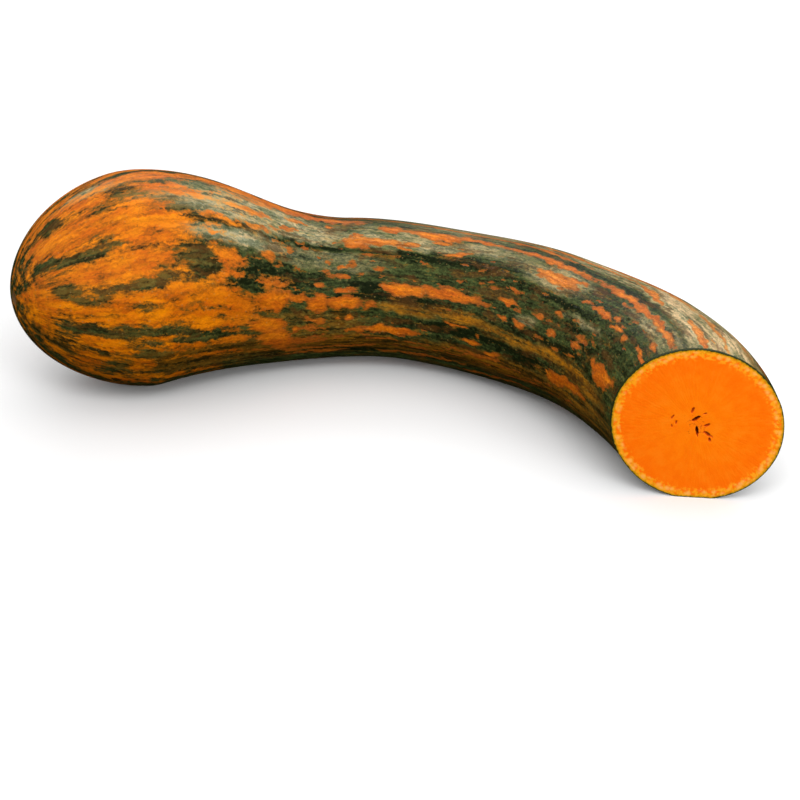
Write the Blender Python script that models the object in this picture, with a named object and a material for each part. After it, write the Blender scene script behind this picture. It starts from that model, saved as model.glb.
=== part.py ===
"""A long, bent pumpkin with its stem end cut off, lying on its side.

The fruit is one solid. A ribbed round section is swept from the blossom end, through the
bulb and along the bent neck, to the flat cut face, where the first slits of the seed
cavity show. Metres, +Z up, with the origin at the middle of the base of the bounding box.
"""
import math

import bmesh
import bpy
import numpy as np

# Centre line: distances run along it from the blossom end, headings turn from +X to +Y
LENGTH = 0.548
START_HEADING = 24.0
BEND_START = 0.1505
BEND_EASE = 0.0355
BEND_RADIUS = 0.1885
LATE_START = 0.360
LATE_EASE = 0.020
LATE_RADIUS = 0.257

# Radius along the fruit, with a slow wave along the neck
BULB_RADIUS = 0.072
NOSE_LENGTH = 0.0915
NOSE_POWER = 1.9
TAPER_START = 0.0765
TAPER_END = 0.227
WAIST_RADIUS = 0.0464
FLARE_START = 0.376
FLARE_END = 0.469
CUT_RADIUS = 0.0502
SWELL_HEIGHT = 0.00075
SWELL_AT = 0.366
SWELL_SPACING = 0.160
BULB_NARROWING = 0.94

# How it lies: the waist stands clear of the floor, the rest sinks into flat spots
WAIST_LIFT = 0.003
WAIST_LIFT_AT = 0.245
WAIST_LIFT_LENGTH = 0.055
FLAT_SINK = 0.0010

# Cut face: upright, turned away from square to the centre line over the last stretch
CUT_TURN = -15.6
CUT_ZONE = 0.160

# Ribs, which fade in from the blossom end and die down towards the cut, with a crest at the bottom
RIB_COUNT = 10
RIB_HEIGHT = 0.00045
RIB_FADE = 0.030
RIB_CALM_START = 0.360
RIB_CALM_SHARE = 0.15

# Unevenness of a grown thing: height, spacing along, lobes round, starting angle
WAVES = (
    (0.00025, 0.130, 1, 0.0),
    (0.00025, 0.213, -2, 75.0),
)

# Blossom scar, a dimple at the tip
SCAR_DEPTH = 0.0014
SCAR_RADIUS = 0.0045

# Slits in the cut face: across, up, length, width, depth, angle from level
SLITS = (
    (-0.0008, 0.0045, 0.0085, 0.0022, 0.0035, 36.0),
    (0.0002, -0.0036, 0.0090, 0.0018, 0.0040, 97.0),
    (0.0060, 0.0004, 0.0042, 0.0014, 0.0020, 28.0),
    (0.0068, -0.0056, 0.0068, 0.0015, 0.0025, -32.0),
    (-0.0030, 0.0102, 0.0046, 0.0012, 0.0018, 68.0),
)
SLIT_MOUTH = 0.0010
KEEL_LENGTH_SHARE = 0.55
KEEL_WIDTH_SHARE = 0.2

# Mesh fineness
SIDES = 70
NOSE_RINGS = 17
NOSE_CROWDING = 1.35
BODY_RINGS = 40
CENTRE_LINE_STEPS = 2000
SHARP_ANGLE = 40.0


def smoothstep(value):
    """Rise from 0 to 1 with level ends."""
    t = np.clip(value, 0.0, 1.0)
    return t * t * (3.0 - 2.0 * t)


def eased_ramp(value, ease):
    """Zero before 0 and value after it, with a soft knee."""
    return ease * np.logaddexp(0.0, value / ease)


def heading(distance):
    """Direction of the centre line in plan, in radians."""
    turned = eased_ramp(distance - BEND_START, BEND_EASE) / BEND_RADIUS
    slack = 1.0 / BEND_RADIUS - 1.0 / LATE_RADIUS
    return math.radians(START_HEADING) - turned + slack * eased_ramp(distance - LATE_START, LATE_EASE)


def full_radius(distance):
    """Radius of the fruit before the nose is rounded off."""
    neck = WAIST_RADIUS + (CUT_RADIUS - WAIST_RADIUS) * smoothstep(
        (distance - FLARE_START) / (FLARE_END - FLARE_START))
    neck = neck + SWELL_HEIGHT * np.cos(2.0 * math.pi * (distance - SWELL_AT) / SWELL_SPACING)
    taper = smoothstep((distance - TAPER_START) / (TAPER_END - TAPER_START))
    return BULB_RADIUS + (neck - BULB_RADIUS) * taper


def nose_share(distance):
    """Share of the full radius that the rounded blossom end leaves."""
    t = np.clip(1.0 - distance / NOSE_LENGTH, 0.0, 1.0)
    return (1.0 - t ** NOSE_POWER) ** (1.0 / NOSE_POWER)


def stations():
    """Distances of the rings, close together at the tip."""
    quarter = np.linspace(0.0, 1.0, NOSE_RINGS + 1)[1:] ** NOSE_CROWDING * math.pi / 2.0
    nose = NOSE_LENGTH * (1.0 - np.cos(quarter))
    body = np.linspace(NOSE_LENGTH, LENGTH, BODY_RINGS + 1)[1:]
    return np.concatenate([nose, body])


def centre_line(distance):
    """Points of the centre line, summed from its heading."""
    fine = np.linspace(0.0, LENGTH, CENTRE_LINE_STEPS)
    angle = heading((fine[1:] + fine[:-1]) / 2.0)
    step = fine[1] - fine[0]
    x = np.concatenate([[0.0], np.cumsum(np.cos(angle) * step)])
    y = np.concatenate([[0.0], np.cumsum(np.sin(angle) * step)])
    lift = WAIST_LIFT * np.exp(-((distance - WAIST_LIFT_AT) / WAIST_LIFT_LENGTH) ** 2)
    height = full_radius(distance) + lift - FLAT_SINK
    return np.stack([np.interp(distance, fine, x), np.interp(distance, fine, y), height], axis=1)


def section_axes(distance, centre):
    """Across, up and forward directions of each ring, with the last ring in the cut plane."""
    to_cut = smoothstep((distance - (LENGTH - CUT_ZONE)) / CUT_ZONE)
    turn = math.radians(CUT_TURN) * to_cut
    angle = heading(distance) + turn
    slope = np.arctan(np.gradient(centre[:, 2], distance)) * (1.0 - to_cut)
    level = np.zeros_like(angle)
    across = np.stack([-np.sin(angle), np.cos(angle), level], axis=1)
    rise = np.sin(slope)
    run = np.cos(slope)
    up = np.stack([-np.cos(angle) * rise, -np.sin(angle) * rise, run], axis=1)
    forward = np.stack([np.cos(angle) * run, np.sin(angle) * run, rise], axis=1)
    stretch = 1.0 / np.cos(turn)
    return across, up, forward, stretch


def rib_relief(distance, angle):
    """Height of the ribs and of the slow waves above the plain section."""
    grown = smoothstep(distance / RIB_FADE)
    calm = smoothstep((distance - RIB_CALM_START) / (LENGTH - RIB_CALM_START))
    rib_height = RIB_HEIGHT * (1.0 + (RIB_CALM_SHARE - 1.0) * calm)
    relief = rib_height * np.cos(RIB_COUNT * (angle + math.pi / 2.0))
    for height, spacing, lobes, start in WAVES:
        phase = 2.0 * math.pi * distance / spacing + math.radians(start)
        relief = relief + height * np.sin(phase + lobes * angle)
    return grown * relief


def ring_points():
    """Rings of points from the blossom end to the cut, one row for each ring."""
    distance = stations()
    centre = centre_line(distance)
    across, up, forward, stretch = section_axes(distance, centre)
    angle = np.linspace(0.0, 2.0 * math.pi, SIDES, endpoint=False)[None, :]
    along = distance[:, None]
    radius = full_radius(along) * nose_share(along)
    radius = radius + rib_relief(along, angle) * nose_share(along)
    narrowing = BULB_NARROWING + (1.0 - BULB_NARROWING) * smoothstep((along - TAPER_END) / TAPER_END)
    sideways = radius * np.cos(angle) * narrowing * stretch[:, None]
    upwards = np.maximum(radius * np.sin(angle), -centre[:, 2:] / up[:, 2:])
    dimple = SCAR_DEPTH * np.exp(-(radius / SCAR_RADIUS) ** 2)
    points = centre[:, None] + sideways[:, :, None] * across[:, None]
    points = points + upwards[:, :, None] * up[:, None] + dimple[:, :, None] * forward[:, None]
    tip = centre[0] + (SCAR_DEPTH - distance[0]) * forward[0]
    return points, tip, centre[-1], across[-1], up[-1], forward[-1]


def base_shift(points):
    """Move that puts the middle of the bounding box's base at the origin."""
    low = points.reshape(-1, 3).min(axis=0)
    high = points.reshape(-1, 3).max(axis=0)
    return np.array([-(low[0] + high[0]) / 2.0, -(low[1] + high[1]) / 2.0, -low[2]])


def make_material(name, colour, roughness):
    """A plain surface material."""
    material = bpy.data.materials.new(name)
    material.use_nodes = True
    shader = material.node_tree.nodes["Principled BSDF"]
    shader.inputs["Base Color"].default_value = (*colour, 1.0)
    shader.inputs["Roughness"].default_value = roughness
    shader.inputs["Metallic"].default_value = 0.0
    material.diffuse_color = (*colour, 1.0)
    return material


def make_fruit(points, tip):
    """Skin the rings into one closed body, with the cut face as one flat polygon."""
    mesh = bpy.data.meshes.new("pumpkin")
    work = bmesh.new()
    rings = [[work.verts.new(point) for point in ring] for ring in points]
    end = work.verts.new(tip)
    for side in range(SIDES):
        after = (side + 1) % SIDES
        work.faces.new((end, rings[0][after], rings[0][side]))
        for near, far in zip(rings, rings[1:]):
            work.faces.new((near[side], near[after], far[after], far[side]))
    cut = work.faces.new(rings[-1])
    cut.material_index = 1
    bmesh.ops.recalc_face_normals(work, faces=work.faces)
    work.to_mesh(mesh)
    work.free()
    mesh.shade_smooth()
    mesh.set_sharp_from_angle(angle=math.radians(SHARP_ANGLE))
    fruit = bpy.data.objects.new("pumpkin", mesh)
    bpy.context.collection.objects.link(fruit)
    mesh.materials.append(make_material("rind", (0.055, 0.075, 0.035), 0.38))
    mesh.materials.append(make_material("flesh", (0.85, 0.26, 0.01), 0.55))
    return fruit


def slit_outline(length, width, angle):
    """Pointed outline of a slit's mouth, in the plane of the cut."""
    turn = math.radians(angle)
    share = ((-0.5, 0.0), (-0.2, -0.42), (0.15, -0.5), (0.5, 0.0), (0.2, 0.45), (-0.15, 0.5))
    for along, over in share:
        x = along * length
        y = over * width
        yield x * math.cos(turn) - y * math.sin(turn), x * math.sin(turn) + y * math.cos(turn)


def make_slit_cutter(number, slit, centre, across, up, forward):
    """A wedge that opens outwards and narrows to a short keel inside the flesh."""
    right, rise, length, width, depth, angle = slit
    place = centre + right * across + rise * up
    mouth = [place + x * across + y * up + SLIT_MOUTH * forward
             for x, y in slit_outline(length, width, angle)]
    keel = [place + x * across + y * up - depth * forward
            for x, y in slit_outline(length * KEEL_LENGTH_SHARE, width * KEEL_WIDTH_SHARE, angle)]
    work = bmesh.new()
    outer = [work.verts.new(point) for point in mouth]
    inner = [work.verts.new(point) for point in keel]
    work.faces.new(outer)
    work.faces.new(inner)
    for corner in range(len(outer)):
        after = (corner + 1) % len(outer)
        work.faces.new((outer[corner], outer[after], inner[after], inner[corner]))
    bmesh.ops.recalc_face_normals(work, faces=work.faces)
    mesh = bpy.data.meshes.new(f"slit_cutter_{number}")
    work.to_mesh(mesh)
    work.free()
    cutter = bpy.data.objects.new(mesh.name, mesh)
    bpy.context.collection.objects.link(cutter)
    cutter.hide_render = True
    cutter.display_type = "WIRE"
    mesh.materials.append(bpy.data.materials["flesh"])
    return cutter


def cut_slit(fruit, cutter):
    """Take the cutter's shape out of the fruit."""
    cut = fruit.modifiers.new(cutter.name, "BOOLEAN")
    cut.operation = "DIFFERENCE"
    cut.solver = "EXACT"
    cut.object = cutter


def main():
    for item in list(bpy.data.objects):
        bpy.data.objects.remove(item)
    points, tip, centre, across, up, forward = ring_points()
    shift = base_shift(points)
    fruit = make_fruit(points + shift, tip + shift)
    for number, slit in enumerate(SLITS, start=1):
        cutter = make_slit_cutter(number, slit, centre + shift, across, up, forward)
        cut_slit(fruit, cutter)


main()
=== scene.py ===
"""Looks of a long, bent pumpkin with its stem end cut off, on a plain pale floor.

Geometry Nodes sweep the fruit along a bent centre line, from the blossom end, round the cut
edge and in to the middle of the cut face. Its rind is dark green with orange streaks. The
streaks that show are listed one by one, and the rest are scattered by a seeded rule.
"""
import math

import bpy
import numpy as np
from bpy.props import FloatProperty, FloatVectorProperty, IntProperty, PointerProperty
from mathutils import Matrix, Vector, noise


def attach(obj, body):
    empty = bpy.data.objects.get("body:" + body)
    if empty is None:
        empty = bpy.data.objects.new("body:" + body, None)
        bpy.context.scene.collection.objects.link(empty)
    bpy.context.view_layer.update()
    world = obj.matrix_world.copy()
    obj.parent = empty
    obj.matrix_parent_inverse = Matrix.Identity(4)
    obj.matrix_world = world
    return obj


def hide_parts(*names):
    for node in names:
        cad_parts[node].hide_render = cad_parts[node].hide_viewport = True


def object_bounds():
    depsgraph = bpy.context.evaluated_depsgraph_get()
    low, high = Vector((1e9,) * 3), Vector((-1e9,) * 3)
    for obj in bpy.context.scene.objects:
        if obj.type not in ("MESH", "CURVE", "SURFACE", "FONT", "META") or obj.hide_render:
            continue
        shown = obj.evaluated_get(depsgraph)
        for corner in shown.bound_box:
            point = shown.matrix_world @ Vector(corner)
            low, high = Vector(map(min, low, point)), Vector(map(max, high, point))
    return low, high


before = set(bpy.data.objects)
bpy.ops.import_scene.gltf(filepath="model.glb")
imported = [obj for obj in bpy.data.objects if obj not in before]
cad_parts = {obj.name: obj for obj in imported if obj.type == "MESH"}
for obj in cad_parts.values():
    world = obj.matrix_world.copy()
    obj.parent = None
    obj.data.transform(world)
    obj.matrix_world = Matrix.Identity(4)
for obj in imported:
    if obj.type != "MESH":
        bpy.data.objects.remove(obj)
CAD_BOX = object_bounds()

bl_info = {
    "name": "Cut neck pumpkin",
    "version": (1, 0, 0),
    "blender": (4, 5, 0),
    "location": "3D View > Sidebar > Pumpkin",
    "description": "Grows a long neck pumpkin with a cut end, and sets a pale studio round it",
    "category": "Object",
}

CENTRE_STEP = 0.001          # spacing of the centre line's points
PATTERN_RADIUS = 0.050       # radius of the roll that the skin's pattern is drawn on
MERGE_DISTANCE = 0.0000005

# Outlines of the marks wander: times a metre, and by how many millimetres and degrees
WANDER_SCALE = 170.0
WANDER_ALONG = 5.0
WANDER_ROUND = 3.0

# Slow waves of the section: height, spacing along, lobes round, starting angle
WAVES = (
    (0.00025, 0.130, 1, 0.0),
    (0.00025, 0.213, -2, 75.0),
)

# Slits in the middle of the cut: across, up, length, width, depth, angle from level
SLITS = (
    (-0.0008, 0.0045, 0.0068, 0.0019, 0.0035, 36.0),
    (0.0002, -0.0036, 0.0070, 0.0017, 0.0040, 97.0),
    (0.0060, 0.0004, 0.0044, 0.0018, 0.0013, 28.0),
    (0.0068, -0.0056, 0.0066, 0.0020, 0.0016, -32.0),
    (-0.0030, 0.0102, 0.0046, 0.0016, 0.0012, 68.0),
    (0.0080, -0.0092, 0.0030, 0.0015, 0.0013, 100.0),
    (0.0046, 0.0082, 0.0030, 0.0009, 0.0010, 20.0),
    (-0.0150, 0.0048, 0.0034, 0.0009, 0.0009, 55.0),
    (-0.0126, 0.0014, 0.0030, 0.0010, 0.0009, 85.0),
    (-0.0152, -0.0012, 0.0024, 0.0009, 0.0008, 95.0),
)
SLIT_FULL_DEPTH = 0.004

# Orange marks of the rind: from and to in millimetres from the blossom end, from and to in
# degrees round from the far side over the top, slant in degrees, strength
ORANGE_MARKS = (
    (8, 60, 103, 132, 6, 0.95),
    (44, 101, 114, 142, 14, 0.92),
    (15, 95, 140, 158, 0, 0.95),
    (3, 20, 128, 202, 0, 0.80),
    (12, 112, 164, 184, 0, 0.98),
    (70, 108, 160, 170, 0, 0.85),
    (92, 152, 163, 191, 2, 1.00),
    (144, 182, 162, 178, -2, 1.00),
    (8, 26, 95, 108, 0, 0.75),
    (28, 65, 92, 103, 12, 0.92),
    (79, 113, 100, 109, 5, 1.00),
    (72, 90, 111, 120, 4, 0.85),
    (62, 76, 112, 120, 0, 0.66),
    (86, 101, 122, 131, 4, 0.90),
    (56, 110, 85, 95, 3, 0.92),
    (100, 240, 85, 96, 1, 0.95),
    (128, 168, 95, 101, 0, 0.62),
    (113, 124, 101, 106, -4, 0.78),
    (126, 163, 107, 113, 0, 0.80),
    (172, 196, 101, 105, 0, 0.85),
    (164, 185, 112, 118, -3, 0.82),
    (151, 167, 116, 121, -2, 0.70),
    (108, 122, 120, 124, 0, 0.82),
    (121, 135, 123, 126, 0, 0.62),
    (138, 159, 121, 125, -1, 0.78),
    (104, 123, 129, 132, 0, 0.68),
    (158, 178, 125, 128, 0, 0.66),
    (167, 181, 130, 133, 0, 0.70),
    (162, 177, 135, 139, 0, 0.66),
    (181, 188, 123, 127, 0, 0.80),
    (149, 163, 137, 144, 0, 1.00),
    (160, 171, 143, 147, 0, 0.85),
    (141, 151, 143, 147, 0, 0.66),
    (113, 138, 141, 153, 2, 1.05),
    (109, 120, 148, 152, 0, 0.90),
    (110, 122, 157, 161, 0, 0.98),
    (118, 135, 154, 158, 0, 0.98),
    (146, 177, 154, 161, 0, 0.90),
    (172, 192, 143, 149, 0, 0.52),
    (176, 192, 158, 161, 0, 0.72),
    (199, 208, 154, 158, 0, 0.90),
    (190, 211, 163, 177, 0, 1.02),
    (176, 196, 163, 170, 0, 0.90),
    (146, 179, 182, 192, 0, 0.95),
    (157, 190, 190, 211, 12, 0.90),
    (182, 193, 190, 194, 0, 0.82),
    (192, 212, 182, 188, 0, 0.76),
    (188, 216, 188, 194, 0, 0.62),
    (167, 216, 199, 206, 0, 0.72),
    (25, 60, 191, 200, 3, 0.78),
    (25, 48, 203, 219, 0, 0.95),
    (44, 61, 197, 206, 0, 0.85),
    (60, 77, 204, 217, 0, 0.85),
    (63, 91, 188, 193, 0, 0.85),
    (79, 119, 195, 201, 2, 0.88),
    (117, 151, 194, 200, 0, 0.90),
    (87, 101, 200, 204, 0, 0.70),
    (205, 214, 99, 105, 0, 0.95),
    (219, 265, 111, 120, -1, 1.00),
    (224, 241, 116, 125, 0, 0.98),
    (225, 237, 107, 113, 0, 0.80),
    (244, 263, 95, 103, 0, 0.98),
    (260, 273, 96, 101, 0, 0.80),
    (267, 307, 93, 103, -2, 1.02),
    (283, 300, 103, 108, -3, 0.95),
    (267, 274, 111, 116, 0, 0.90),
    (261, 270, 118, 122, 0, 0.90),
    (295, 319, 112, 117, -6, 1.00),
    (300, 341, 92, 98, 2, 0.92),
    (332, 430, 94, 100, 1, 0.92),
    (371, 412, 106, 118, 1, 1.05),
    (396, 421, 104, 110, -1, 1.02),
    (420, 546, 99, 106, 9, 1.02),
    (435, 483, 79, 86, 15, 0.95),
    (499, 556, 82, 88, 3, 1.00),
    (251, 293, 151, 160, 0, 1.08),
    (283, 341, 147, 157, 0, 1.08),
    (213, 234, 157, 161, 0, 0.95),
    (207, 239, 163, 175, 1, 0.98),
    (240, 251, 166, 176, 0, 0.85),
    (226, 234, 178, 184, 0, 0.90),
    (216, 223, 181, 185, 0, 0.76),
    (307, 334, 173, 177, 0, 1.00),
    (221, 243, 191, 196, 0, 0.85),
    (238, 291, 188, 195, -1, 1.02),
    (339, 346, 178, 182, 0, 0.76),
    (326, 345, 184, 189, 0, 1.00),
    (349, 367, 190, 195, -3, 0.98),
    (356, 376, 143, 148, 0, 0.98),
    (363, 376, 134, 138, 0, 0.82),
    (334, 343, 135, 139, 0, 0.70),
    (360, 368, 156, 160, 0, 0.82),
    (376, 391, 156, 160, 0, 0.88),
    (341, 353, 149, 154, 0, 0.70),
    (394, 405, 144, 150, 0, 0.88),
    (219, 226, 139, 143, 0, 0.95),
    (226, 234, 134, 141, 0, 0.76),
    (244, 254, 139, 144, 0, 0.80),
    (202, 212, 143, 149, 0, 0.66),
    (221, 232, 147, 151, 0, 0.85),
    (233, 240, 144, 148, 0, 0.62),
    (208, 214, 136, 140, 0, 0.70),
    (331, 337, 124, 128, 0, 0.70),
    (429, 439, 119, 123, 0, 0.85),
    (443, 475, 120, 126, 3, 1.00),
    (472, 481, 119, 123, 0, 0.88),
    (477, 497, 125, 129, 1, 0.98),
    (500, 510, 127, 131, 0, 0.92),
    (522, 556, 127, 131, 6, 1.00),
    (529, 542, 116, 120, 0, 0.80),
    (483, 498, 114, 118, 0, 0.58),
    (460, 468, 107, 111, 0, 0.80),
    (486, 495, 121, 125, 0, 0.66),
    (412, 422, 136, 140, 0, 0.85),
    (449, 467, 145, 150, 0, 0.68),
    (465, 476, 149, 153, 0, 0.56),
    (449, 465, 152, 157, 0, 0.78),
    (412, 427, 152, 157, 0, 0.82),
    (473, 485, 144, 148, 0, 0.55),
    (484, 539, 154, 161, 0, 1.05),
    (497, 529, 158, 168, 2, 1.02),
    (402, 414, 160, 164, 0, 0.62),
    (425, 435, 162, 166, 0, 0.72),
    (447, 463, 161, 165, 0, 0.70),
    (413, 484, 181, 190, -2, 1.05),
    (419, 446, 186, 194, 0, 0.98),
    (468, 494, 184, 189, 0, 0.88),
    (2, 46, 70, 80, 8, 0.90),
    (6, 60, 84, 92, 8, 0.80),
    (20, 110, 60, 68, 4, 0.90),
    (40, 130, 72, 79, 4, 0.85),
    (110, 220, 66, 74, 3, 0.90),
    (150, 260, 76, 82, 0, 0.75),
    (236, 330, 77, 83, 1, 0.78),
    (300, 420, 82, 87, 2, 0.80),
    (330, 440, 69, 75, 5, 0.88),
    (400, 482, 57, 64, 10, 0.85),
    (470, 556, 66, 71, 4, 0.72),
    # Lines of the lower side, kept weak so that they show dimmer and, on the neck, browner: faint lines with
    # painted shade on them
    (236, 302, 200, 203, -2, 0.74),
    (262, 332, 205, 208, -4, 0.72),
    (288, 342, 198, 200, -5, 0.68),
    (318, 374, 197, 201, -8, 0.78),
    (328, 388, 203, 206, -10, 0.76),
    (350, 412, 208, 211, -12, 0.72),
    (380, 432, 199, 202, -10, 0.68),
    (404, 470, 203, 206, -12, 0.68),
    (160, 262, 211, 215, -2, 0.72),
    (180, 232, 217, 221, 0, 0.72),
    (96, 168, 206, 210, 4, 0.72),
    (60, 130, 222, 227, 4, 0.72),
    (20, 90, 226, 232, 3, 0.72),
    (6, 40, 216, 224, 4, 0.64),
    (240, 330, 216, 221, -4, 0.72),
    (300, 400, 222, 226, -8, 0.72),
)

# Green dashes inside the orange, laid out as the orange marks are
GREEN_MARKS = (
    (44, 63, 126, 137, 4, 0.46),
    (22, 49, 132, 140, 2, 0.66),
    (9, 21, 123, 134, 0, 0.85),
    (16, 34, 151, 158, 0, 0.58),
    (30, 49, 163, 171, 0, 0.60),
    (42, 104, 158, 163, 0, 0.80),
    (62, 80, 169, 176, 0, 1.00),
    (92, 114, 140, 152, 8, 0.66),
    (100, 114, 152, 162, 0, 0.62),
    (72, 90, 150, 154, 0, 0.50),
    (84, 128, 173, 176, 2, 0.52),
    (110, 140, 181, 184, 0, 0.55),
    (22, 58, 175, 178, 0, 0.50),
    (30, 84, 201, 205, 2, 0.55),
    (14, 60, 210, 214, 0, 0.55),
    (66, 104, 212, 216, 0, 0.50),
    (15, 53, 183, 191, 0, 0.75),
    (50, 106, 185, 190, 3, 0.72),
    (98, 137, 190, 196, 4, 0.85),
    (19, 33, 90, 104, 6, 0.80),
    (175, 191, 170, 180, 0, 0.90),
    (205, 212, 160, 164, 0, 0.60),
    (122, 196, 122, 160, 0, 0.24),
)

# Yellow-brown bands with soft edges, laid out alike
BROWN_MARKS = (
    (250, 302, 167, 175, 0, 0.75),
    (298, 348, 162, 173, 2, 0.95),
    (342, 402, 167, 177, 0, 0.80),
    (378, 508, 167, 175, 0, 1.00),
    (440, 525, 172, 182, 3, 0.75),
    (150, 300, 197, 214, 4, 0.50),
    (270, 430, 193, 212, -6, 0.62),
    (400, 548, 184, 210, -8, 0.62),
    (8, 70, 186, 224, 0, 0.30),
    (60, 170, 196, 226, 0, 0.40),
    (150, 240, 176, 198, 0, 0.35),
    (20, 110, 95, 125, 10, 0.25),
    (2, 112, 126, 192, 0, 0.22),
)

# Places where the bloom is pale and where a painted sheen lightens the lit top, and dark lines between them,
# laid out alike
PALE_MARKS = (
    (92, 216, 97, 124, 4, 1.00),
    (98, 170, 128, 138, 2, 0.95),
    (160, 250, 128, 146, 0, 0.30),
    (34, 72, 84, 94, 6, 0.90),
    (212, 300, 98, 124, 2, 0.72),
    (300, 372, 98, 112, 0, 0.60),
    (366, 424, 100, 122, 0, 0.72),
    (250, 360, 40, 92, 0, 0.50),
    (350, 560, 40, 90, 4, 1.20),
    (430, 590, 50, 98, 4, 1.45),
    (424, 474, 134, 140, 2, 0.45),
    (474, 560, 104, 116, 4, 0.55),
    (380, 400, 150, 158, 0, 0.35),
)
DARK_MARKS = (
    (40, 92, 96, 101, 3, 0.90),
    (98, 134, 124, 128, 0, 0.80),
    (160, 222, 123, 128, 2, 0.60),
    (100, 210, 146, 162, 0, 0.55),
    (236, 300, 124, 130, 0, 0.75),
    (262, 348, 118, 126, -3, 0.80),
    (348, 444, 126, 132, 2, 0.75),
    (376, 548, 90, 97, 9, 0.90),
    (226, 312, 160, 166, 1, 0.95),
    (228, 256, 152, 160, 0, 0.80),
    (212, 226, 170, 190, 0, 0.60),
    (276, 400, 177, 187, 2, 0.75),
    (380, 484, 159, 166, 1, 0.70),
    (376, 414, 178, 190, 0, 0.80),
    (300, 326, 186, 200, 0, 0.50),
    (60, 160, 202, 216, 0, 0.60),
    (150, 300, 198, 222, 0, 0.75),
    (280, 430, 192, 214, -8, 0.78),
    (120, 162, 198, 206, 2, 0.70),
    (428, 452, 140, 146, 0, 0.60),
    (468, 486, 150, 160, 0, 0.40),
    (4, 30, 196, 216, 0, 0.50),
)

# Where small flecks are thick
FLECK_MARKS = (
    (80, 560, 104, 164, 0, 1.00),
    (150, 430, 160, 204, 0, 0.70),
    (0, 120, 90, 220, 0, 0.45),
)

# Scattered marks of the back and the underside
SCATTER_COUNT = 60
SCATTER_SEED = 7
SCATTER_ANGLES = (236.0, 430.0)


def linear(hex_colour):
    """Turn an sRGB colour such as #FF8000 into linear red, green, blue and alpha."""
    parts = [int(hex_colour[place:place + 2], 16) / 255.0 for place in (1, 3, 5)]
    return (*[part / 12.92 if part <= 0.04045 else ((part + 0.055) / 1.055) ** 2.4 for part in parts], 1.0)


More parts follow.
